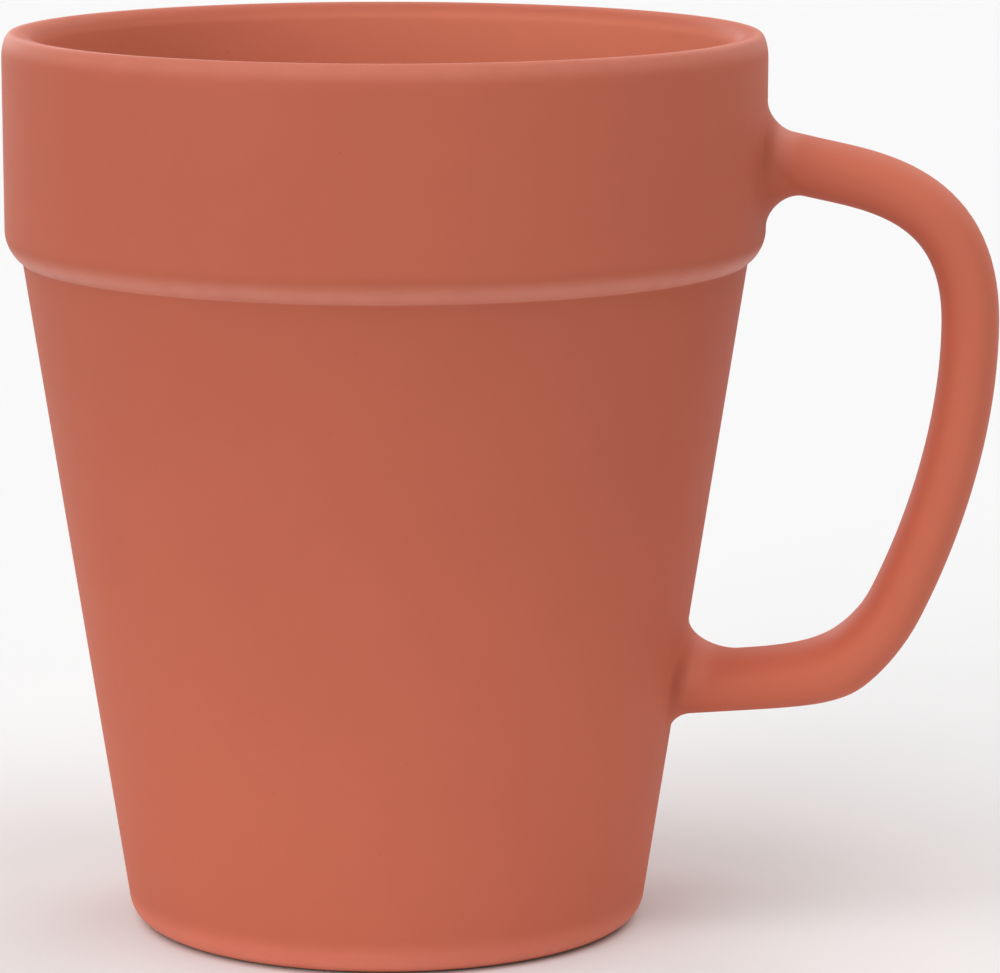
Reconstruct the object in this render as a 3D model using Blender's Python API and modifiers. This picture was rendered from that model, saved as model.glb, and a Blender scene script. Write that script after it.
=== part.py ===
"""Terracotta mug in the shape of a flower pot, at real size, in metres, with +Z up.

The mug is made the way a pottery makes it: the body and the handle are two castings, and each end
of the handle is fixed to the body with slip that is wiped into a fillet. The table is at Z = 0.
The origin is the middle of the mug's footprint, handle included, and the handle points along +X.
"""

import math

import bmesh
import bpy
from mathutils import Matrix, Vector

MM = 0.001

# Body casting. Radii are measured from the mug's own axis, heights from the table.
MUG_HEIGHT = 110.0 * MM
COLLAR_RADIUS = 46.5 * MM
COLLAR_DROP = 27.6 * MM  # from the lip down to the crease under the collar
COLLAR_STEP = 2.2 * MM  # the collar's face stands out this far past the top of the wall
COLLAR_DRAFT = 0.1 * MM  # the collar's face leans in by this much on its way down
COLLAR_EDGE_HEIGHT = 3.7 * MM  # the rounded edge under the collar
COLLAR_EDGE_FULLNESS = 1.2 * MM  # how low the edge bulges before it turns in to the crease
COLLAR_WALL = 4.0 * MM
LIP_CREST_INSET = 1.1 * MM  # the lip's highest circle, in from the collar's face
LIP_OUTER_DROP = 1.8 * MM
LIP_INNER_DROP = 2.2 * MM
LIP_INNER_FULLNESS = 0.75  # the inner side of the lip is squarer than an ellipse
BASE_RADIUS = 31.6 * MM  # where the straight wall would meet the table
BODY_WALL = 3.8 * MM
SHOULDER_BELOW = 3.0 * MM  # the inside widens from this far below the crease ...
SHOULDER_ABOVE = 8.0 * MM  # ... to this far above it
FLOOR_THICKNESS = 4.5 * MM
FLOOR_CORNER = 8.0 * MM
FOOT_ROUNDING = 3.1 * MM
FOOT_RING_WIDTH = 3.4 * MM
RECESS_DEPTH = 1.8 * MM
RECESS_BEVEL = 0.8 * MM
BODY_STEPS = 72

# Handle casting, an oval bar. It leaves the collar drooping and reaches the wall rising.
HANDLE_PROJECTION = 28.35 * MM  # from the collar's face to the handle's outermost point
HANDLE_THICKNESS = 7.0 * MM
HANDLE_WIDTH = 12.5 * MM
HANDLE_BEND_DROP = 35.2 * MM  # from the lip down to the outermost point
LOWER_BEND_INSET = 8.0 * MM  # the lower bend's start, in from the outermost centreline
LOWER_BEND_RISE = 11.4 * MM  # the lower bend's start, above the handle's lower end
LOWER_BEND_LEAN = math.radians(26.0)  # the bar leans in this far from the vertical there
# The route's Bezier arms, as shares of the width or height between two of its points.
UPPER_END_ARM = 0.40
BEND_ARM_ABOVE = 0.86
BEND_ARM_BELOW = 0.44
LOWER_BEND_ARM_ABOVE = 0.15
LOWER_BEND_ARM_BELOW = 1.03
LOWER_END_ARM = 0.57
HANDLE_SIDES = 20
HANDLE_STEPS = 14  # rings between two points of the route

# Slip joints. Seats are where the handle's centreline meets the body.
UPPER_SEAT_DROP = 14.8 * MM  # from the lip down to the upper seat
UPPER_TILT = math.radians(-12.5)
UPPER_REACH = 5.2 * MM  # from the collar out to the handle's end
UPPER_FILLET_ABOVE = 3.0 * MM
UPPER_FILLET_BELOW = 4.8 * MM
UPPER_END_THICKNESS = 7.3 * MM
LOWER_SEAT_HEIGHT = 29.8 * MM
LOWER_TILT = math.radians(4.5)
LOWER_REACH = 5.0 * MM
LOWER_FILLET_ABOVE = 4.2 * MM
LOWER_FILLET_BELOW = 2.0 * MM
LOWER_END_THICKNESS = 8.0 * MM
SIDE_FILLET = 2.6 * MM
SLIP_STEPS = 7
SLIP_OVERRUN = 6.0 * MM  # a fillet is made this much too long, then trimmed by the body

# Meshes that touch keep this gap.
CLEARANCE = 0.3 * MM

CREASE_HEIGHT = MUG_HEIGHT - COLLAR_DROP
CREASE_RADIUS = COLLAR_RADIUS - COLLAR_STEP
FLOOR_TOP = RECESS_DEPTH + FLOOR_THICKNESS
UPPER_SEAT_HEIGHT = MUG_HEIGHT - UPPER_SEAT_DROP
BEND_HEIGHT = MUG_HEIGHT - HANDLE_BEND_DROP
HANDLE_REACH = COLLAR_RADIUS + HANDLE_PROJECTION
AXIS_X = (COLLAR_RADIUS - HANDLE_REACH) / 2  # centres the footprint on the origin

CLAY = (0.50, 0.135, 0.085, 1.0)
ROUND = 4 / 3 * (math.sqrt(2) - 1)  # the arm of a Bezier curve that draws a quarter of an ellipse


def clear_scene():
    for obj in list(bpy.data.objects):
        bpy.data.objects.remove(obj, do_unlink=True)


def new_collection(name):
    collection = bpy.data.collections.new(name)
    bpy.context.scene.collection.children.link(collection)
    return collection


def glazed_clay(name, roughness):
    """Fired red clay under a thin satin glaze of its own colour."""
    material = bpy.data.materials.new(name)
    material.use_nodes = True
    shader = material.node_tree.nodes["Principled BSDF"]
    shader.inputs["Base Color"].default_value = CLAY
    shader.inputs["Roughness"].default_value = roughness
    shader.inputs["Metallic"].default_value = 0.0
    material.diffuse_color = CLAY
    return material


def add_object(name, data, collection, parent, material=None):
    obj = bpy.data.objects.new(name, data)
    collection.objects.link(obj)
    obj.parent = parent
    if material:
        data.materials.append(material)
    return obj


def make_cutter(obj):
    obj.hide_render = True
    obj.display_type = "WIRE"


def wall_radius(height):
    """Outside radius of the straight wall at a height."""
    return BASE_RADIUS + (CREASE_RADIUS - BASE_RADIUS) * height / CREASE_HEIGHT


def collar_radius(height):
    """Outside radius of the collar's face at a height."""
    top = MUG_HEIGHT - LIP_OUTER_DROP
    bottom = CREASE_HEIGHT + COLLAR_EDGE_HEIGHT
    return COLLAR_RADIUS - COLLAR_DRAFT * (top - height) / (top - bottom)


def rounded(start, corner, end, steps, fullness=ROUND):
    """Points that round off a corner between two profile points, without the first one."""
    start, corner, end = Vector(start), Vector(corner), Vector(end)
    arm_out, arm_in = start.lerp(corner, fullness), end.lerp(corner, fullness)
    points = []
    for step in range(1, steps + 1):
        t = step / steps
        first, middle, last = start.lerp(arm_out, t), arm_out.lerp(arm_in, t), arm_in.lerp(end, t)
        points.append(tuple(first.lerp(middle, t).lerp(middle.lerp(last, t), t)))
    return points


def inner_profile():
    """(radius, height) from the middle of the floor out, up the inside and to the lip's crest."""
    corner = (wall_radius(FLOOR_TOP) - BODY_WALL, FLOOR_TOP)
    corner_top = FLOOR_TOP + FLOOR_CORNER
    points = [(0.0, FLOOR_TOP), (corner[0] - FLOOR_CORNER, FLOOR_TOP)]
    points += rounded(points[-1], corner, (wall_radius(corner_top) - BODY_WALL, corner_top), 7)
    low, high = CREASE_HEIGHT - SHOULDER_BELOW, CREASE_HEIGHT + SHOULDER_ABOVE
    inner_wall, inner_collar = wall_radius(low) - BODY_WALL, COLLAR_RADIUS - COLLAR_WALL
    middle = ((inner_wall + inner_collar) / 2, (low + high) / 2)
    points.append((inner_wall, low))
    points += rounded(points[-1], (inner_wall, middle[1]), middle, 4)
    points += rounded(middle, (inner_collar, middle[1]), (inner_collar, high), 4)
    points.append((inner_collar, MUG_HEIGHT - LIP_INNER_DROP))
    crest = (COLLAR_RADIUS - LIP_CREST_INSET, MUG_HEIGHT)
    points += rounded(points[-1], (inner_collar, MUG_HEIGHT), crest, 6, LIP_INNER_FULLNESS)
    return points


def outer_profile(offset=0.0):
    """(radius, height) from beside the lip's crest down the outside to where the foot turns flat."""
    crest = (COLLAR_RADIUS - LIP_CREST_INSET + offset, MUG_HEIGHT)
    face_top = (COLLAR_RADIUS + offset, MUG_HEIGHT - LIP_OUTER_DROP)
    points = rounded(crest, (face_top[0], MUG_HEIGHT), face_top, 5)
    edge = COLLAR_RADIUS - COLLAR_DRAFT + offset
    edge_bottom = (edge, CREASE_HEIGHT + COLLAR_EDGE_FULLNESS)
    points.append((edge, CREASE_HEIGHT + COLLAR_EDGE_HEIGHT))
    points += rounded(points[-1], edge_bottom, (CREASE_RADIUS + offset, CREASE_HEIGHT), 7)
    foot = (wall_radius(0.0) + offset, 0.0)
    points.append((wall_radius(FOOT_ROUNDING) + offset, FOOT_ROUNDING))
    points += rounded(points[-1], foot, (foot[0] - FOOT_ROUNDING, 0.0), 6)
    return points


def turned(name, profile, collection, parent, material=None):
    """A solid of revolution about the parent's Z axis from an open (radius, height) profile."""
    bm = bmesh.new()
    corners = [bm.verts.new((radius, 0.0, height)) for radius, height in profile]
    for corner, following in zip(corners, corners[1:]):
        bm.edges.new((corner, following))
    mesh = bpy.data.meshes.new(name)
    bm.to_mesh(mesh)
    bm.free()
    obj = add_object(name, mesh, collection, parent, material)
    screw = obj.modifiers.new("Turn", "SCREW")
    screw.steps = BODY_STEPS
    screw.render_steps = BODY_STEPS
    screw.use_merge_vertices = True
    screw.merge_threshold = 0.01 * MM
    screw.use_smooth_shade = True
    return obj


def mug_body(collection, parent):
    """The body casting: floor, wall, collar, lip, foot ring and the recess inside the ring."""
    foot_inner = wall_radius(0.0) - FOOT_ROUNDING - FOOT_RING_WIDTH
    recess = [(foot_inner, 0.0), (foot_inner - RECESS_BEVEL, RECESS_DEPTH), (0.0, RECESS_DEPTH)]
    profile = inner_profile() + outer_profile() + recess
    return turned("mug_body", profile, collection, parent, glazed_clay("body_glaze", 0.38))


def seat_frame(outside, height, tilt):
    """Where the handle's centreline meets the body: place, direction outward, direction up, and
    how far the body's outside leans along the outward direction for each step up."""
    outward = Vector((math.cos(tilt), 0.0, math.sin(tilt)))
    upward = Vector((-math.sin(tilt), 0.0, math.cos(tilt)))
    slope = (outside(height + MM) - outside(height)) / MM
    return Vector((outside(height), 0.0, height)), outward, upward, math.tan(math.atan(slope) + tilt)


def upper_seat():
    return seat_frame(collar_radius, UPPER_SEAT_HEIGHT, UPPER_TILT)


def lower_seat():
    return seat_frame(wall_radius, LOWER_SEAT_HEIGHT, LOWER_TILT)


def handle(collection, parent):
    """The handle casting: a curve with an oval section, from joint to joint."""
    top, top_out = upper_seat()[:2]
    bottom, bottom_out = lower_seat()[:2]
    start = top + top_out * (UPPER_REACH + CLEARANCE)
    end = bottom + bottom_out * (LOWER_REACH + CLEARANCE)
    bend = Vector((HANDLE_REACH - HANDLE_THICKNESS / 2, 0.0, BEND_HEIGHT))
    lower = Vector((bend.x - LOWER_BEND_INSET, 0.0, end.z + LOWER_BEND_RISE))
    down = Vector((0.0, 0.0, -1.0))
    lean = Vector((-math.sin(LOWER_BEND_LEAN), 0.0, -math.cos(LOWER_BEND_LEAN)))
    drop, fall, rise = start.z - bend.z, bend.z - lower.z, lower.z - end.z
    upper_arm, lower_arm = UPPER_END_ARM * (bend.x - start.x), LOWER_END_ARM * (lower.x - end.x)
    # Each point: place, direction of travel, arm before it, arm after it, thickness.
    route = [
        (start, top_out, upper_arm, upper_arm, UPPER_END_THICKNESS),
        (bend, down, BEND_ARM_ABOVE * drop, BEND_ARM_BELOW * fall, HANDLE_THICKNESS),
        (lower, lean, LOWER_BEND_ARM_ABOVE * fall, LOWER_BEND_ARM_BELOW * rise, HANDLE_THICKNESS),
        (end, -bottom_out, lower_arm, lower_arm, LOWER_END_THICKNESS),
    ]
    curve = bpy.data.curves.new("handle", "CURVE")
    curve.dimensions = "3D"
    curve.twist_mode = "MINIMUM"
    curve.bevel_depth = HANDLE_THICKNESS / 2
    curve.bevel_resolution = HANDLE_SIDES // 2 - 2
    curve.resolution_u = HANDLE_STEPS
    curve.use_fill_caps = True
    spline = curve.splines.new("BEZIER")
    spline.bezier_points.add(len(route) - 1)
    for point, (place, travel, before, after, thickness) in zip(spline.bezier_points, route):
        point.handle_left_type = "FREE"
        point.handle_right_type = "FREE"
        point.co = place
        point.handle_left = place - travel * before
        point.handle_right = place + travel * after
        point.radius = thickness / HANDLE_THICKNESS
    obj = add_object("handle", curve, collection, parent, glazed_clay("handle_glaze", 0.36))
    obj.scale = (1.0, HANDLE_WIDTH / HANDLE_THICKNESS, 1.0)
    return obj


def fillet_climb(radius, distance):
    """How far a round fillet stands off the handle at a distance from the body."""
    inside = min(max(1 - distance / radius, 0.0), 1.0)
    return radius * (1 - math.sqrt(1 - inside ** 2))


def slip_joint(name, seat, reach, fillet_above, fillet_below, end_thickness, collection, parent, trim):
    """A fillet of slip: a loft of ovals that swell from the handle's section to the body."""
    place, outward, upward, lean = seat
    end_width = HANDLE_WIDTH * end_thickness / HANDLE_THICKNESS
    turns = [math.pi / 2 * step / SLIP_STEPS for step in range(SLIP_STEPS + 1)]
    distances = [reach * (1 - math.sin(turn)) for turn in turns] + [-SLIP_OVERRUN]
    bm = bmesh.new()
    rings = []
    for distance in distances:
        above = end_thickness / 2 + fillet_climb(fillet_above, distance)
        below = end_thickness / 2 + fillet_climb(fillet_below, distance)
        half_width = end_width / 2 + fillet_climb(SIDE_FILLET, distance)
        # A ring is square to the handle where they meet and lies along the body at the body.
        ring_lean = lean * min(1 - distance / reach, 1.0)
        ring = []
        for side in range(HANDLE_SIDES):
            angle = 2 * math.pi * side / HANDLE_SIDES
            rise = (above - below) / 2 + (above + below) / 2 * math.sin(angle)
            sideways = Vector((0.0, half_width * math.cos(angle), 0.0))
            out = outward * (distance + ring_lean * rise)
            ring.append(bm.verts.new(place + out + upward * rise + sideways))
        rings.append(ring)
    for ring, following in zip(rings, rings[1:]):
        for side in range(HANDLE_SIDES):
            beside = (side + 1) % HANDLE_SIDES
            bm.faces.new((ring[side], ring[beside], following[beside], following[side]))
    bm.faces.new(rings[0][::-1])
    bm.faces.new(rings[-1])
    bmesh.ops.recalc_face_normals(bm, faces=bm.faces)
    mesh = bpy.data.meshes.new(name)
    bm.to_mesh(mesh)
    bm.free()
    mesh.shade_smooth()
    mesh.set_sharp_from_angle(angle=math.radians(40))
    obj = add_object(name, mesh, collection, parent, glazed_clay(name + "_glaze", 0.36))
    cut = obj.modifiers.new("Trim to the body", "BOOLEAN")
    cut.operation = "DIFFERENCE"
    cut.object = trim
    return obj


def body_trim(collection, parent):
    """The body's outside, grown by the clearance: it trims the fillets to the body's curve."""
    outside = outer_profile(CLEARANCE)
    profile = [(0.0, MUG_HEIGHT)] + outside + [(0.0, 0.0)]
    obj = turned("body_trim", profile, collection, parent)
    make_cutter(obj)
    return obj


def build():
    clear_scene()
    parts = new_collection("terracotta_mug")
    cutters = new_collection("cutters")
    axis = bpy.data.objects.new("mug_axis", None)
    axis.matrix_world = Matrix.Translation((AXIS_X, 0.0, 0.0))
    parts.objects.link(axis)
    mug_body(parts, axis)
    handle(parts, axis)
    trim = body_trim(cutters, axis)
    slip_joint(
        "upper_slip_joint", upper_seat(), UPPER_REACH, UPPER_FILLET_ABOVE, UPPER_FILLET_BELOW,
        UPPER_END_THICKNESS, parts, axis, trim,
    )
    slip_joint(
        "lower_slip_joint", lower_seat(), LOWER_REACH, LOWER_FILLET_ABOVE, LOWER_FILLET_BELOW,
        LOWER_END_THICKNESS, parts, axis, trim,
    )


build()
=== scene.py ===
import math

import bmesh
import bpy
from mathutils import Matrix, Vector


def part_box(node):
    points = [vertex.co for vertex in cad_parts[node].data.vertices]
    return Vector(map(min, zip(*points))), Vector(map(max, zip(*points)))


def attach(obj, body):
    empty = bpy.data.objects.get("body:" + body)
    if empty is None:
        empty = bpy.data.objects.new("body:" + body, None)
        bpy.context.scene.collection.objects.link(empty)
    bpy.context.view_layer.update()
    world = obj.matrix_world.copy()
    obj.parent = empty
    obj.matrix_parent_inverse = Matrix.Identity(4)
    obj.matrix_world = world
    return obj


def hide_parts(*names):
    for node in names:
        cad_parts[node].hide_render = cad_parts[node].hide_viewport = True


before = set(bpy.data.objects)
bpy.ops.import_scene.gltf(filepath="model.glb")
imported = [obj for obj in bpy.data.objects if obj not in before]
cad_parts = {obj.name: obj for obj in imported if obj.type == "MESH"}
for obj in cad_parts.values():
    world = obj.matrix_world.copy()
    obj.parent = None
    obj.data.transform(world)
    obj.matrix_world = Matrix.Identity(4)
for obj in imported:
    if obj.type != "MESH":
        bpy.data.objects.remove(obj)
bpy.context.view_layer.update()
mm = 0.001

# Camera
# A long lens, 0.63 m in front of the mug, looks down on it by about ten degrees. The handle
# points to the right and is turned five degrees towards the lens.
body_low, body_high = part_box("mug_body")
axis_x = (body_low.x + body_high.x) / 2
camera_distance = 628.55 * mm
camera_pitch = math.radians(9.856)
camera_roll = math.radians(0.11)
handle_turn = math.radians(5.0)
camera_aim = Vector((14.02 * mm, 0, 53.84 * mm))

bpy.ops.object.camera_add()
camera = bpy.context.object
camera.name = "camera"
camera.data.sensor_width = 36.0
camera.data.lens = 183.49
camera.matrix_world = (
    Matrix.Translation((axis_x, 0, 0))
    @ Matrix.Rotation(handle_turn, 4, "Z")
    @ Matrix.Translation(camera_aim)
    @ Matrix.Rotation(math.pi / 2 - camera_pitch, 4, "X")
    @ Matrix.Rotation(camera_roll, 4, "Z")
    @ Matrix.Translation((0, 0, camera_distance))
)
bpy.context.scene.camera = camera

# Mug body
# One slip casting of red earthenware: a tapered wall under a thick straight collar, with a round
# lip, a floor and a foot ring. Its plaster mould leaves the wall even, so the inside follows the
# outside. The rims are sponged round before the first firing.
mug_height = body_high.z
collar_radius = (body_high.y - body_low.y) / 2
columns = 256

lip_crest_inset = 1.1 * mm
lip_outer_drop = 3.2 * mm
lip_inner_drop = 2.2 * mm
lip_inner_fullness = 0.75
collar_wall = 4.0 * mm
collar_draft = 0.1 * mm
collar_edge_height = 3.7 * mm
collar_edge_fullness = 1.2 * mm
collar_step = 2.2 * mm
crease_below = 0.7 * mm
crease_above = 0.3 * mm
crease_height = mug_height - 27.6 * mm
crease_radius = collar_radius - collar_step
base_radius = 31.6 * mm
wall_thickness = 3.8 * mm
floor_top = 6.3 * mm
floor_corner = 8.0 * mm
shoulder_below = 3.0 * mm
shoulder_above = 8.0 * mm
foot_rounding = 2.75 * mm
foot_ring_width = 3.4 * mm
recess_depth = 1.8 * mm
recess_lean = 0.2 * mm
recess_bevel = 0.8 * mm
recess_rounding = 1.5 * mm
# Both outlines stop this far from the axis, and the last ring is then drawn together.
last_ring = 0.5 * mm
# A curve whose arms reach this share of the way to the corner is very nearly an arc.
arc_fullness = 0.5523
# Faces that meet at less than this angle are shaded as one smooth surface.
smooth_angle = math.radians(35)


def wall_radius(height):
    """Outside radius of the tapered wall."""
    return base_radius + (crease_radius - base_radius) * height / crease_height


def rounded(start, corner, end, steps=16, start_fullness=arc_fullness, end_fullness=arc_fullness):
    """Points that round off a corner, without the first one, closer together near both ends."""
    start, corner, end = Vector(start), Vector(corner), Vector(end)
    out, back = start.lerp(corner, start_fullness), end.lerp(corner, end_fullness)
    points = []
    for step in range(1, steps + 1):
        even = step / steps
        t = even * even * (3 - 2 * even)
        first, middle, last = start.lerp(out, t), out.lerp(back, t), back.lerp(end, t)
        points.append(first.lerp(middle, t).lerp(middle.lerp(last, t), t))
    return points


def straight(start, end, steps):
    """Points along a straight run, without the first one, closer together near both ends."""
    start, end = Vector(start), Vector(end)
    shares = [step / steps for step in range(1, steps + 1)]
    return [start.lerp(end, share * share * (3 - 2 * share)) for share in shares]


foot_outer = wall_radius(0) - foot_rounding
collar_face = collar_radius - collar_draft
inner_collar = collar_radius - collar_wall
outline = [Vector((foot_outer, 0))]
outline += rounded(outline[-1], (wall_radius(0), 0), (wall_radius(foot_rounding), foot_rounding))
crease = Vector((crease_radius, crease_height))
below_crease = crease_height - crease_below
outline += straight(outline[-1], (wall_radius(below_crease), below_crease), steps=24)
edge_turn = Vector((collar_face, crease_height + collar_edge_fullness))
above_crease = crease.lerp(edge_turn, crease_above / (edge_turn - crease).length)
outline += rounded(outline[-1], crease, above_crease, steps=12)
outline += rounded(above_crease, edge_turn, (collar_face, crease_height + collar_edge_height))
outline += straight(outline[-1], (collar_radius, mug_height - lip_outer_drop), steps=10)
crest = (collar_radius - lip_crest_inset, mug_height)
outline += rounded(outline[-1], (collar_radius, mug_height), crest)
lip_foot = (inner_collar, mug_height - lip_inner_drop)
outline += rounded(
    crest, (inner_collar, mug_height), lip_foot,
    start_fullness=lip_inner_fullness, end_fullness=lip_inner_fullness,
)
shoulder_high, shoulder_low = crease_height + shoulder_above, crease_height - shoulder_below
inner_wall = wall_radius(shoulder_low) - wall_thickness
shoulder_middle = ((inner_collar + inner_wall) / 2, (shoulder_high + shoulder_low) / 2)
outline += straight(outline[-1], (inner_collar, shoulder_high), steps=8)
over_shoulder = (inner_collar, shoulder_middle[1])
under_shoulder = (inner_wall, shoulder_middle[1])
outline += rounded(outline[-1], over_shoulder, shoulder_middle, steps=8)
outline += rounded(outline[-1], under_shoulder, (inner_wall, shoulder_low), steps=8)
corner_top = floor_top + floor_corner
corner_radius = wall_radius(floor_top) - wall_thickness
floor_edge = (corner_radius - floor_corner, floor_top)
outline += straight(
    outline[-1], (wall_radius(corner_top) - wall_thickness, corner_top), steps=16
)
outline += rounded(outline[-1], (corner_radius, floor_top), floor_edge)
outline += straight(outline[-1], (last_ring, floor_top), steps=8)

foot_inner = foot_outer - foot_ring_width
recess_rim = foot_inner - recess_bevel
underside = [outline[0]]
underside += straight(underside[-1], (foot_inner, 0), steps=4)
recess_corner = (foot_inner - recess_lean, recess_depth)
underside += rounded(underside[-1], recess_corner, (recess_rim - recess_rounding, recess_depth))
underside += straight(underside[-1], (last_ring, recess_depth), steps=8)


def draw_rings(points):
    """Extrudes the selected ring through (radius, height) points, and closes the last one."""
    for here, there in zip(points, points[1:]):
        rise = (0, 0, there.y - here.y)
        growth = there.x / here.x
        bpy.ops.mesh.extrude_region_move(TRANSFORM_OT_translate={"value": rise})
        bpy.ops.transform.resize(
            value=(growth, growth, 1), center_override=(axis_x, 0, there.y)
        )
    bpy.ops.mesh.merge(type="CENTER")


bpy.ops.object.select_all(action="DESELECT")
bpy.ops.mesh.primitive_circle_add(
    vertices=columns, radius=foot_outer, location=(axis_x, 0, 0), enter_editmode=True
)
mug_body = bpy.context.object
mug_body.name = "glazed_mug_body"
draw_rings(outline)
bpy.ops.mesh.select_all(action="DESELECT")
# The ring that was drawn first, at the foot's outer edge, starts the underside too.
mesh = bmesh.from_edit_mesh(mug_body.data)
for vertex in mesh.verts:
    vertex.select = abs(vertex.co.z) < 0.001 * mm
mesh.select_flush(True)
draw_rings(underside)
bpy.ops.mesh.select_all(action="SELECT")
bpy.ops.mesh.normals_make_consistent(inside=False)
bpy.ops.object.mode_set(mode="OBJECT")
bpy.ops.object.transform_apply()
bpy.ops.object.shade_smooth_by_angle(angle=smooth_angle)


def add_node(tree, kind, inputs=None, **settings):
    """Adds a shader node, and fills its inputs with values or links them to sockets."""
    node = tree.nodes.new("ShaderNode" + kind)
    for setting, value in settings.items():
        setattr(node, setting, value)
    for name, value in (inputs or {}).items():
        if isinstance(value, bpy.types.NodeSocket):
            tree.links.new(value, node.inputs[name])
        else:
            node.inputs[name].default_value = value
    return node


def calculate(tree, operation, *numbers):
    return add_node(tree, "Math", dict(enumerate(numbers)), operation=operation).outputs[0]


def blend_colours(tree, share, first, second, blend="MIX"):
    inputs = {0: share, 6: first, 7: second}
    return add_node(tree, "Mix", inputs, data_type="RGBA", blend_type=blend).outputs[2]


def blend_values(tree, share, first, second):
    return add_node(tree, "Mix", {0: share, 2: first, 3: second}).outputs[0]


def soft_step(tree, value, start, end):
    """0 up to start and 1 from end on, with a soft change between them."""
    inputs = {"Value": value, "From Min": start, "From Max": end}
    return add_node(tree, "MapRange", inputs, interpolation_type="SMOOTHSTEP").outputs[0]


def noise(tree, place, patch, detail):
    """Noise with patches about as wide as the size given."""
    inputs = {"Vector": place, "Scale": 1 / patch, "Detail": detail}
    return add_node(tree, "TexNoise", inputs).outputs["Fac"]


terracotta = (0.515, 0.132, 0.0785, 1)
# A paler copy of the glaze, for painted light inside the mug.
painted_light_inside_glaze = (0.62, 0.2, 0.123, 1)
# Pale colour for painted light: painted highlights, painted reflections and light from the table.
thin_glaze = (0.66, 0.235, 0.17, 1)
# Darker glaze for specks, for painted shade in corners and for the glaze that pools there.
pooled_glaze = (0.37, 0.085, 0.05, 1)
red_clay = (0.42, 0.16, 0.08, 1)

cloud_size = 16 * mm
drift_size = 3.5 * mm
grit_size = 0.3 * mm
speck_spacing = 1.6 * mm
speck_reach = 0.11
speckless_share = 0.72
speck_strength = 0.25
glaze_roughness = 0.53
thin_roughness = 0.42
clay_roughness = 0.9
glaze_specular = 0.09

# The glaze as it lies on every piece: clouded where it is a little thicker, painted pale and
# smoother where light and highlights are painted, painted darker where shade falls in a corner and
# the glaze pools, and wiped off where the clay is bare.
glaze_surface = bpy.data.node_groups.new("glaze_surface", "ShaderNodeTree")
for name, kind, side in (
    ("Place", "Vector", "INPUT"),
    ("Glaze", "Color", "INPUT"),
    ("Thin Glaze", "Color", "INPUT"),
    ("Pooled Glaze", "Color", "INPUT"),
    ("Clay", "Color", "INPUT"),
    ("Thin", "Float", "INPUT"),
    ("Pooled", "Float", "INPUT"),
    ("Bare", "Float", "INPUT"),
    ("Lightness", "Float", "INPUT"),
    ("Color", "Color", "OUTPUT"),
    ("Roughness", "Float", "OUTPUT"),
    ("Normal", "Vector", "OUTPUT"),
):
    glaze_surface.interface.new_socket(name=name, in_out=side, socket_type="NodeSocket" + kind)
given = glaze_surface.nodes.new("NodeGroupInput").outputs
place = given["Place"]
clouds = noise(glaze_surface, place, cloud_size, 3)
drifts = noise(glaze_surface, place, drift_size, 4)
grit = noise(glaze_surface, place, grit_size, 2)
specks = add_node(glaze_surface, "TexVoronoi", {"Vector": place, "Scale": 1 / speck_spacing})
speck_kind = add_node(glaze_surface, "SeparateColor", {"Color": specks.outputs["Color"]})
speck_size = calculate(glaze_surface, "MULTIPLY", speck_kind.outputs["Red"], speck_reach)
near_speck = calculate(glaze_surface, "LESS_THAN", specks.outputs["Distance"], speck_size)
chosen = calculate(
    glaze_surface, "GREATER_THAN", speck_kind.outputs["Green"], speckless_share
)
speck = calculate(glaze_surface, "MULTIPLY", near_speck, chosen)

# Painted light, made uneven by the drifts, turns the colour pale; painted shade in corners, where
# the glaze also pools, turns it dark.
uneven_light = calculate(glaze_surface, "MULTIPLY_ADD", drifts, 0.5, 0.75)
thin = calculate(glaze_surface, "MULTIPLY", given["Thin"], uneven_light)
colour = blend_colours(glaze_surface, thin, given["Glaze"], given["Thin Glaze"])
colour = blend_colours(glaze_surface, given["Pooled"], colour, given["Pooled Glaze"])
speck_share = calculate(glaze_surface, "MULTIPLY", speck, speck_strength)
colour = blend_colours(glaze_surface, speck_share, colour, given["Pooled Glaze"])
tone = calculate(glaze_surface, "MULTIPLY_ADD", clouds, 0.07, 0.945)
tone = calculate(glaze_surface, "MULTIPLY_ADD", drifts, 0.04, tone)
tone = calculate(glaze_surface, "MULTIPLY", tone, given["Lightness"])
colour = blend_colours(glaze_surface, 1, colour, tone, "MULTIPLY")
clay_tone = calculate(glaze_surface, "MULTIPLY_ADD", grit, 0.6, 0.7)
clay = blend_colours(glaze_surface, 1, given["Clay"], clay_tone, "MULTIPLY")
colour = blend_colours(glaze_surface, given["Bare"], colour, clay)

satin = calculate(glaze_surface, "MULTIPLY_ADD", drifts, 0.16, glaze_roughness)
satin = blend_values(glaze_surface, thin, satin, thin_roughness)
satin = blend_values(glaze_surface, given["Bare"], satin, clay_roughness)

swells = {"Height": clouds, "Strength": 0.5, "Distance": 0.3 * mm}
normal = add_node(glaze_surface, "Bump", swells).outputs[0]
ripple = calculate(glaze_surface, "MULTIPLY_ADD", speck, -0.5, drifts)
ripples = {"Height": ripple, "Strength": 0.25, "Distance": 0.1 * mm, "Normal": normal}
normal = add_node(glaze_surface, "Bump", ripples).outputs[0]
grain_strength = calculate(glaze_surface, "MULTIPLY_ADD", given["Bare"], 0.8, 0.08)
grain = {"Height": grit, "Strength": grain_strength, "Distance": 0.05 * mm, "Normal": normal}
normal = add_node(glaze_surface, "Bump", grain).outputs[0]

finished = glaze_surface.nodes.new("NodeGroupOutput").inputs
for name, socket in (("Color", colour), ("Roughness", satin), ("Normal", normal)):
    glaze_surface.links.new(socket, finished[name])


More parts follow.
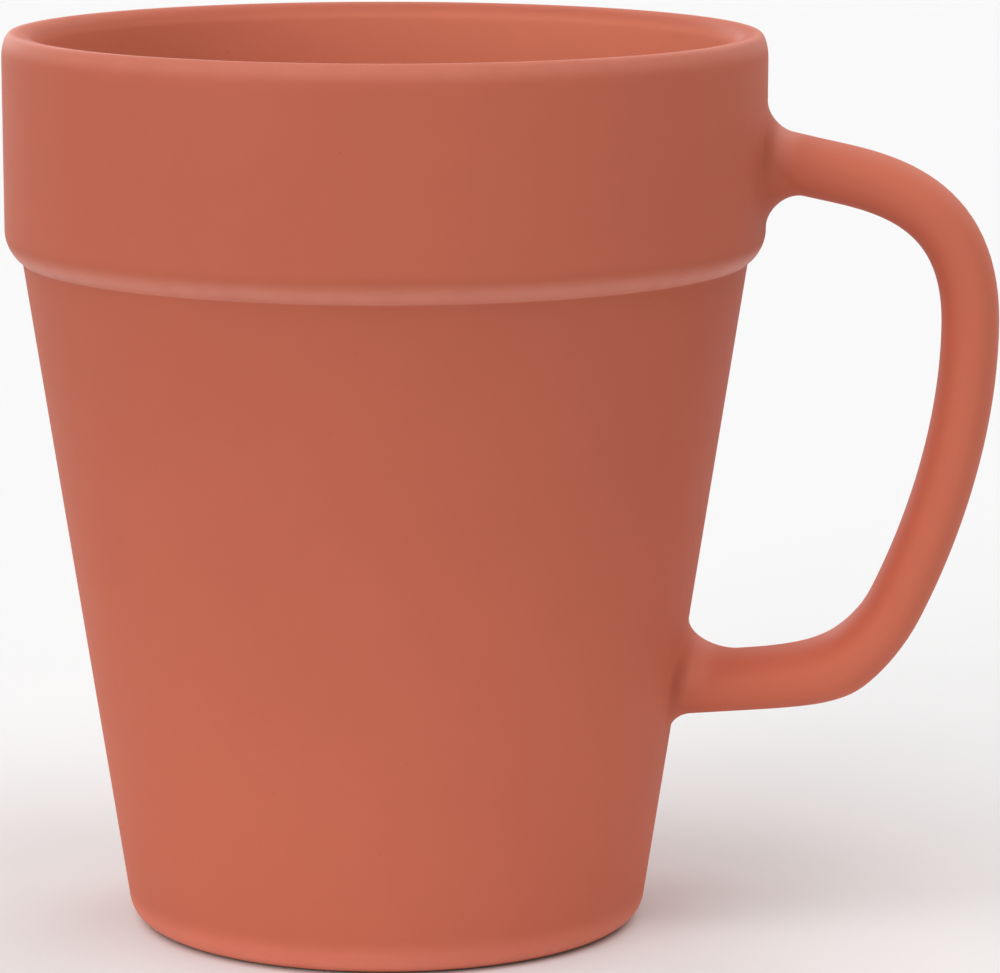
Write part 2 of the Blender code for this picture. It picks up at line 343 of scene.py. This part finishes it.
def new_material(name):
    """A material with the satin glaze's own gloss, its tree, and its coordinates about the axis."""
    material = bpy.data.materials.new(name)
    material.use_nodes = True
    tree = material.node_tree
    shader = tree.nodes["Principled BSDF"].inputs
    shader["IOR"].default_value = 1.5
    shader["Specular IOR Level"].default_value = glaze_specular
    coordinates = add_node(tree, "TexCoord").outputs["Object"]
    centred = {"Vector": coordinates, "Location": (-axis_x, 0, 0)}
    place = add_node(tree, "Mapping", centred).outputs[0]
    return material, tree, place


def from_axis(tree, place):
    """Distance from the mug's axis, and height above the table."""
    flat = add_node(tree, "VectorMath", {0: place, 1: (1, 1, 0)}, operation="MULTIPLY").outputs[0]
    radius = add_node(tree, "VectorMath", {0: flat}, operation="LENGTH").outputs["Value"]
    return radius, add_node(tree, "SeparateXYZ", {0: place}).outputs["Z"]


def lay_glaze(tree, place, **own):
    """Puts the glaze on the material's shader, with this piece's own values for what differs."""
    surface = tree.nodes.new("ShaderNodeGroup")
    surface.node_tree = glaze_surface
    inputs = {
        "Place": place,
        "Glaze": terracotta,
        "Thin Glaze": thin_glaze,
        "Pooled Glaze": pooled_glaze,
        "Clay": red_clay,
        "Lightness": 1.0,
    }
    inputs.update({name.title(): value for name, value in own.items()})
    for name, value in inputs.items():
        if isinstance(value, bpy.types.NodeSocket):
            tree.links.new(value, surface.inputs[name])
        else:
            surface.inputs[name].default_value = value
    shader = tree.nodes["Principled BSDF"].inputs
    tree.links.new(surface.outputs["Color"], shader["Base Color"])
    tree.links.new(surface.outputs["Roughness"], shader["Roughness"])
    tree.links.new(surface.outputs["Normal"], shader["Normal"])


# Painted shade and light: how light the colour is painted outside from the collar to the foot, and
# inside from deep down to the mouth. Then how strongly light is painted over each edge, and how
# much lighter at the foot.
collar_shade = 0.905
foot_shade = 1.1
deep_shade = 1.0
mouth_shade = 1.18
edge_thinness = 0.88
lip_thinness = 0.42
foot_thinness = 0.5
foot_light_gain = 0.3


def outside_lightness(tree, height):
    """Painted shade and light outside: a shade darker on the collar than at the foot, which the
    table lights from below.
    """
    down_wall = soft_step(tree, height, crease_height + 4 * mm, foot_rounding)
    return blend_values(tree, down_wall, collar_shade, foot_shade)


body_glaze, tree, place = new_material("body_glaze")
radius, height = from_axis(tree, place)
# Painted light: a painted reflection of the table on the collar's lower edge, a painted highlight
# on the outer side of the lip, and painted light from the table where the wall turns under.
on_edge = soft_step(tree, height, crease_height - 0.1 * mm, crease_height + 0.15 * mm)
past_edge = soft_step(tree, height, crease_height + 2.9 * mm, crease_height + 0.9 * mm)
outside = soft_step(tree, radius, crease_radius - 0.6 * mm, crease_radius)
edge_band = calculate(tree, "MULTIPLY", calculate(tree, "MULTIPLY", on_edge, past_edge), outside)
# A painted highlight along the outer side of the lip's crest.
near_crest = soft_step(tree, height, mug_height - 2.5 * mm, mug_height - 0.8 * mm)
outer_lip = soft_step(tree, radius, collar_radius - 2.1 * mm, collar_radius - 1.1 * mm)
crest_line = calculate(tree, "MULTIPLY", near_crest, outer_lip)
edge_band = calculate(tree, "MULTIPLY", edge_band, edge_thinness)
crest_line = calculate(tree, "MULTIPLY", crest_line, lip_thinness)
thin = calculate(tree, "MAXIMUM", edge_band, crest_line)
# Painted light from the table on the foot's rounding: paler and lighter.
foot_turn = soft_step(tree, height, foot_rounding + 2 * mm, 0.0)
thin = calculate(tree, "MAXIMUM", thin, calculate(tree, "MULTIPLY", foot_turn, foot_thinness))
# Bare on the foot ring, up to an uneven line just above the table.
foot_edge = calculate(tree, "MULTIPLY_ADD", noise(tree, place, 1.5 * mm, 3), 0.3 * mm, 0.1 * mm)
above_table = calculate(tree, "SUBTRACT", height, foot_edge)
bare = soft_step(tree, above_table, 0.12 * mm, 0.0)
on_ring = soft_step(tree, radius, foot_inner - 0.3 * mm, foot_inner)
bare = calculate(tree, "MULTIPLY", bare, on_ring)
# Painted shade and light outside: darker on the collar, lighter down the wall, lightest at the
# foot.
down_outside = outside_lightness(tree, height)
lightness = calculate(tree, "MULTIPLY_ADD", foot_turn, foot_light_gain, down_outside)
# Inside, from just past the lip's crest down, the colour is painted paler as painted light, and
# lighter still towards the mouth.
wall_slope = (crease_radius - base_radius) / crease_height
middle_of_wall = calculate(tree, "MULTIPLY_ADD", height, wall_slope, base_radius - 1.4 * mm)
middle_of_wall = calculate(tree, "MINIMUM", middle_of_wall, collar_radius - 2.2 * mm)
inset = calculate(tree, "SUBTRACT", middle_of_wall, radius)
inside_painted_light = soft_step(tree, inset, -0.7 * mm, 0.7 * mm)
above_base = soft_step(tree, height, recess_depth + 1 * mm, floor_top - 1 * mm)
below_lip = soft_step(tree, height, mug_height - 0.3 * mm, mug_height - 1.8 * mm)
inside_painted_light = calculate(tree, "MULTIPLY", inside_painted_light, calculate(tree, "MULTIPLY", above_base, below_lip))
glaze = blend_colours(tree, inside_painted_light, terracotta, painted_light_inside_glaze)
up_inside = soft_step(tree, height, mug_height - 16 * mm, mug_height - 1 * mm)
inside_lightness = blend_values(tree, up_inside, deep_shade, mouth_shade)
lightness = blend_values(tree, inside_painted_light, lightness, inside_lightness)
lay_glaze(tree, place, glaze=glaze, thin=thin, bare=bare, lightness=lightness)
mug_body.data.materials.append(body_glaze)
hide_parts("mug_body")
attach(mug_body, "root")

# Handle
# A second, solid casting: an oval bar bent into an ear. It leaves the collar drooping, runs down
# past a wide bend and a tight one, and comes back to the wall rising a little. It is fettled
# smooth and cut square at both ends while it is leather-hard.
handle_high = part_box("handle")[1]
handle_width = 12.5 * mm
handle_thickness = 7.0 * mm
handle_sides = 96
handle_squareness = 2.35
handle_ring_spacing = 0.9 * mm

upper_seat_drop = 14.8 * mm
upper_tilt = math.radians(-12.6)
upper_reach = 5.5 * mm
lower_seat_height = 29.88 * mm
lower_tilt = math.radians(4.5)
lower_reach = 8.0 * mm
wide_bend_drop = 34.9 * mm


def outward(tilt):
    """The handle's direction away from the body, tilted above the horizontal."""
    return Vector((math.cos(tilt), 0, math.sin(tilt)))


upper_seat = Vector((axis_x + collar_radius, 0, mug_height - upper_seat_drop))
lower_seat = Vector((axis_x + wall_radius(lower_seat_height), 0, lower_seat_height))
upper_end = upper_seat + outward(upper_tilt) * upper_reach
lower_end = lower_seat + outward(lower_tilt) * lower_reach
wide_bend = Vector((handle_high.x - handle_thickness / 2, 0, mug_height - wide_bend_drop))
tight_bend = wide_bend + Vector((-8.57 * mm, 0, -34.75 * mm))
heel = wide_bend + Vector((-15.4 * mm, 0, -42.35 * mm))
# Each knot: its place, the way the bar runs there, its arms before and after, its thickness.
knots = [
    (upper_end, outward(upper_tilt), 0, 7.3 * mm, 7.1 * mm),
    (wide_bend, outward(math.radians(-90)), 16.2 * mm, 15.6 * mm, 7.0 * mm),
    (tight_bend, outward(math.radians(-116)), 6.15 * mm, 4.5 * mm, 6.95 * mm),
    (heel, outward(math.radians(-154)), 1.7 * mm, 2.4 * mm, 7.75 * mm),
    (lower_end, -outward(lower_tilt), 7.0 * mm, 0, 7.2 * mm),
]
stations = []
for before, after in zip(knots, knots[1:]):
    here, run, _, arm, thickness = before
    there, next_run, next_arm, _, next_thickness = after
    out, back = here + run * arm, there - next_run * next_arm
    steps = round((there - here).length / handle_ring_spacing)
    for step in range(steps):
        t = step / steps
        first, middle, last = here.lerp(out, t), out.lerp(back, t), back.lerp(there, t)
        left, right = first.lerp(middle, t), middle.lerp(last, t)
        growth = (next_thickness - thickness) * t * t * (3 - 2 * t)
        stations.append((left.lerp(right, t), right - left, thickness + growth))
stations.append((lower_end, -outward(lower_tilt), knots[-1][4]))


def turn_ring(run, next_run, centre):
    """Turns the selected ring in the handle's plane, from square to one run to the next."""
    turn = run.xz.angle_signed(next_run.xz)
    # With no window the operator turns the other way.
    bpy.ops.transform.rotate(value=-turn, orient_axis="Y", center_override=centre)


bpy.ops.object.select_all(action="DESELECT")
bpy.ops.mesh.primitive_circle_add(
    vertices=handle_sides,
    radius=stations[0][2] / 2,
    fill_type="NGON",
    location=upper_end,
    enter_editmode=True,
)
handle = bpy.context.object
handle.name = "glazed_handle"
# A handle that is pressed in a mould has flatter sides than an oval.
mesh = bmesh.from_edit_mesh(handle.data)
for vertex in mesh.verts:
    across, along = [abs(size) / vertex.co.length for size in vertex.co.xy]
    vertex.co *= (across**handle_squareness + along**handle_squareness) ** (-1 / handle_squareness)
bpy.ops.transform.resize(
    value=(1, handle_width / handle_thickness, 1), center_override=upper_end
)
turn_ring(Vector((0, 0, -1)), stations[0][1], upper_end)
for before, after in zip(stations, stations[1:]):
    here, run, thickness = before
    there, next_run, next_thickness = after
    bpy.ops.mesh.extrude_region_move(TRANSFORM_OT_translate={"value": there - here})
    turn_ring(run, next_run, there)
    growth = next_thickness / thickness
    bpy.ops.transform.resize(value=(growth, growth, growth), center_override=there)
bpy.ops.mesh.select_all(action="SELECT")
bpy.ops.mesh.normals_make_consistent(inside=False)
bpy.ops.object.mode_set(mode="OBJECT")
bpy.ops.object.transform_apply()
bpy.ops.object.shade_smooth_by_angle(angle=smooth_angle)


handle_top_shade = 0.995
handle_heel_shade = 1.105


def handle_lightness(tree, height):
    """Painted shade and light on the handle too: a shade darker at the top than at the heel, which
    is lit from below.
    """
    down_handle = soft_step(tree, height, mug_height - 20 * mm, lower_seat_height)
    return blend_values(tree, down_handle, handle_top_shade, handle_heel_shade)


handle_glaze, tree, place = new_material("handle_glaze")
height = from_axis(tree, place)[1]
lay_glaze(tree, place, lightness=handle_lightness(tree, height))
handle.data.materials.append(handle_glaze)
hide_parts("handle")
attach(handle, "root")

# Upper slip joint
# Slip, the same clay stirred to a thick cream, sticks the handle's end to the collar. It is wiped
# round with a finger, which leaves a fillet that is fuller under the handle than on top of it.
fillet_steps = 20
fillet_in_wall = 1 * mm
collar_depth = 26 * mm


def end_face(end, name):
    """Starts a joint from a copy of the handle's end face, and opens it in edit mode."""
    bpy.ops.object.select_all(action="DESELECT")
    handle.select_set(True)
    bpy.context.view_layer.objects.active = handle
    bpy.ops.object.mode_set(mode="EDIT")
    bpy.ops.mesh.select_mode(type="FACE")
    bpy.ops.mesh.select_all(action="DESELECT")
    mesh = bmesh.from_edit_mesh(handle.data)
    for face in mesh.faces:
        face.select = len(face.verts) > 4 and (face.calc_center_median() - end).length < 1 * mm
    bpy.ops.mesh.duplicate()
    bpy.ops.mesh.separate(type="SELECTED")
    bpy.ops.object.mode_set(mode="OBJECT")
    joint = next(piece for piece in bpy.context.selected_objects if piece != handle)
    joint.name = name
    bpy.ops.object.select_all(action="DESELECT")
    joint.select_set(True)
    bpy.context.view_layer.objects.active = joint
    bpy.ops.object.mode_set(mode="EDIT")
    bpy.ops.mesh.select_all(action="SELECT")
    return joint


def wipe_fillet(joint, seat, tilt, outside, reach, climb, fullness):
    """Extrudes the handle's end to the body in a fillet, and closes it inside the wall.

    reach is how far from the body the fillet starts, climb how far over the body it runs, and
    fullness how deep it sits in the corner, each given above, below and beside the handle.
    """
    away = outward(tilt)
    upward = Vector((-away.z, 0, away.x))
    seat_radius = seat.x - axis_x

    def unrolled(point):
        """Distance round the body, height, and distance out from the body."""
        radius = math.hypot(point.x - axis_x, point.y)
        turn = math.atan2(point.y, point.x - axis_x)
        return Vector((turn * seat_radius, point.z, radius - outside(point.z)))

    def rolled(point):
        turn, radius = point.x / seat_radius, outside(point.y) + point.z
        return Vector((axis_x + radius * math.cos(turn), radius * math.sin(turn), point.y))

    mesh = bmesh.from_edit_mesh(joint.data)
    offsets = [vertex.co - seat for vertex in mesh.verts]
    half_width = max(offset.y for offset in offsets)
    half_thickness = max(offset.dot(upward) for offset in offsets)
    paths = []
    path_number = mesh.verts.layers.int.new("path_number")
    for vertex, offset in zip(mesh.verts, offsets):
        vertex[path_number] = len(paths)
        beside = offset.y / half_width ** 2
        above = offset.dot(upward) / half_thickness ** 2
        facing = Vector((beside, above)).normalized()
        side = 0 if above > 0 else 1
        vertex_reach, vertex_climb, depth = [
            size[side] * facing.y ** 2 + size[2] * facing.x ** 2
            for size in (reach, climb, fullness)
        ]
        # The corner is where the bar's edge would meet the body, found by closing in on it.
        corner = vertex.co.copy()
        for _ in range(12):
            corner -= away * unrolled(corner).z
        start = corner + away * min(vertex_reach, (vertex.co - corner).length)
        foot = unrolled(corner) + Vector((facing.x, facing.y, 0)) * vertex_climb
        inside = foot - Vector((0, 0, fillet_in_wall))
        fillet = rounded(unrolled(start), unrolled(corner), foot, fillet_steps, depth, depth)
        path = straight(vertex.co, start, steps=4) + [rolled(point) for point in fillet]
        paths.append(path + [rolled(inside)])
    for places in zip(*paths):
        bpy.ops.mesh.extrude_region()
        mesh = bmesh.from_edit_mesh(joint.data)
        path_number = mesh.verts.layers.int["path_number"]
        for vertex in mesh.verts:
            if vertex.select:
                vertex.co = places[vertex[path_number]]
    mesh.verts.layers.int.remove(path_number)
    bpy.ops.mesh.merge(type="CENTER")
    bpy.ops.mesh.select_all(action="SELECT")
    bpy.ops.mesh.normals_make_consistent(inside=False)
    bpy.ops.object.mode_set(mode="OBJECT")
    bpy.ops.object.shade_smooth_by_angle(angle=smooth_angle)


def glaze_joint(tree, place, height, off_body, middle, depth, joint_light):
    """Paints shade into the corner beside the handle, where the glaze also pools, and light past it
    on the upper side.

    middle is the height of the handle's middle where it meets the body, depth how dark the painted
    shade and the glaze that pools there are, and the last how strongly light is painted past the
    corner.
    """
    # The body's painted shade and light go over to the handle's.
    outwards = soft_step(tree, off_body, 0, 5 * mm)
    body_shade, handle_shade = outside_lightness(tree, height), handle_lightness(tree, height)
    lightness = blend_values(tree, outwards, body_shade, handle_shade)
    # Painted shade in the corner beside the handle, round the middle of its height, where the glaze
    # also pools.
    pooled = calculate(tree, "MULTIPLY", soft_step(tree, off_body, 0, 0.5 * mm), depth)
    for value, start, end in (
        (off_body, 2.2 * mm, 0.6 * mm),
        (height, middle - 5 * mm, middle + 0.5 * mm),
        (height, middle + 6.5 * mm, middle + 2 * mm),
    ):
        pooled = calculate(tree, "MULTIPLY", pooled, soft_step(tree, value, start, end))
    # Painted light on the joint past the corner, on its upper side, where the lamps light it.
    thin = calculate(tree, "MULTIPLY", soft_step(tree, off_body, 0.8 * mm, 1.9 * mm), joint_light)
    for value, start, end in (
        (off_body, 5 * mm, 2.9 * mm),
        (height, middle - 2 * mm, middle + 2.5 * mm),
    ):
        thin = calculate(tree, "MULTIPLY", thin, soft_step(tree, value, start, end))
    lay_glaze(tree, place, pooled=pooled, thin=thin, lightness=lightness)


upper_joint = end_face(upper_end, "glazed_upper_slip_joint")
wipe_fillet(
    upper_joint, upper_seat, upper_tilt,
    outside=lambda height: collar_radius - collar_draft * (mug_height - height) / collar_depth,
    reach=(3.3 * mm, 5.5 * mm, 2.0 * mm),
    climb=(3.1 * mm, 5.1 * mm, 2.3 * mm),
    fullness=(0.53, 0.46, 0.55),
)
upper_joint_glaze, tree, place = new_material("upper_joint_glaze")
radius, height = from_axis(tree, place)
off_body = calculate(tree, "SUBTRACT", radius, collar_radius)
glaze_joint(tree, place, height, off_body, upper_seat.z, depth=0.42, joint_light=0.38)
upper_joint.data.materials.clear()
upper_joint.data.materials.append(upper_joint_glaze)
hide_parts("upper_slip_joint")
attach(upper_joint, "root")

# Lower slip joint
# The same slip at the handle's lower end, pressed against the tapered wall. The finger leaves it
# tight underneath, and long and soft on top, where it runs up the wall.
lower_joint = end_face(lower_end, "glazed_lower_slip_joint")
wipe_fillet(
    lower_joint, lower_seat, lower_tilt,
    outside=wall_radius,
    reach=(7.3 * mm, 2.4 * mm, 2.2 * mm),
    climb=(4.4 * mm, 1.9 * mm, 3.0 * mm),
    fullness=(0.47, 0.6, 0.55),
)
lower_joint_glaze, tree, place = new_material("lower_joint_glaze")
radius, height = from_axis(tree, place)
wall_at_height = calculate(tree, "MULTIPLY_ADD", height, wall_slope, base_radius)
off_wall = calculate(tree, "SUBTRACT", radius, wall_at_height)
glaze_joint(tree, place, height, off_wall, lower_seat.z, depth=0.72, joint_light=0.2)
lower_joint.data.materials.clear()
lower_joint.data.materials.append(lower_joint_glaze)
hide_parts("lower_slip_joint")
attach(lower_joint, "root")

# Table and light
# A white table in a studio with a white backdrop, lit by a few large soft lamps: a low and a high
# one in front on the left, two overhead and two behind.
bpy.ops.object.select_all(action="DESELECT")
table_radius = 4.0
table_white = (0.77, 0.77, 0.77, 1)
bpy.ops.mesh.primitive_circle_add(vertices=64, radius=table_radius, fill_type="NGON")
table = bpy.context.object
table.name = "table_top"
table_paint = bpy.data.materials.new("table_paint")
table_paint.use_nodes = True
table_shader = table_paint.node_tree.nodes["Principled BSDF"].inputs
table_shader["Base Color"].default_value = table_white
table_shader["Roughness"].default_value = 0.9
table_shader["Specular IOR Level"].default_value = 0.0
table.data.materials.append(table_paint)

# Each lamp: its way round from the front, counted to the right, its height, how wide it looks
# from the mug, all in degrees, and how much it lights a surface that faces it.
lamps = {
    "key_softbox": (330, 38, 40, 0.166),
    "low_key": (330, 12, 40, 0.204),
    "left_overhead": (300, 65, 40, 0.257),
    "right_overhead": (60, 65, 40, 0.257),
    "right_back_light": (150, 38, 40, 0.23),
    "left_back_light": (210, 12, 40, 0.276),
}
for name, (around, above, width, level) in lamps.items():
    lamp = bpy.data.lights.new(name, "SUN")
    lamp.angle = math.radians(width)
    lamp.energy = math.pi * level
    softbox = bpy.data.objects.new(name, lamp)
    softbox.rotation_euler = (math.radians(90 - above), 0, math.radians(around))
    bpy.context.scene.collection.objects.link(softbox)

world = bpy.context.scene.world or bpy.data.worlds.new("studio")
bpy.context.scene.world = world
world.use_nodes = True
# The room's white walls give an even light from all round, and show as white behind the mug.
room_light = 0.42
shown_white = 1.0
world_tree = world.node_tree
rays = add_node(world_tree, "LightPath").outputs
shown = calculate(world_tree, "MAXIMUM", rays["Is Camera Ray"], rays["Is Glossy Ray"])
shown = calculate(world_tree, "MAXIMUM", shown, rays["Is Transmission Ray"])
background = world_tree.nodes["Background"].inputs
background["Color"].default_value = (1, 1, 1, 1)
strength = blend_values(world_tree, shown, room_light, shown_white)
world_tree.links.new(strength, background["Strength"])
bpy.context.scene.view_settings.view_transform = "Standard"
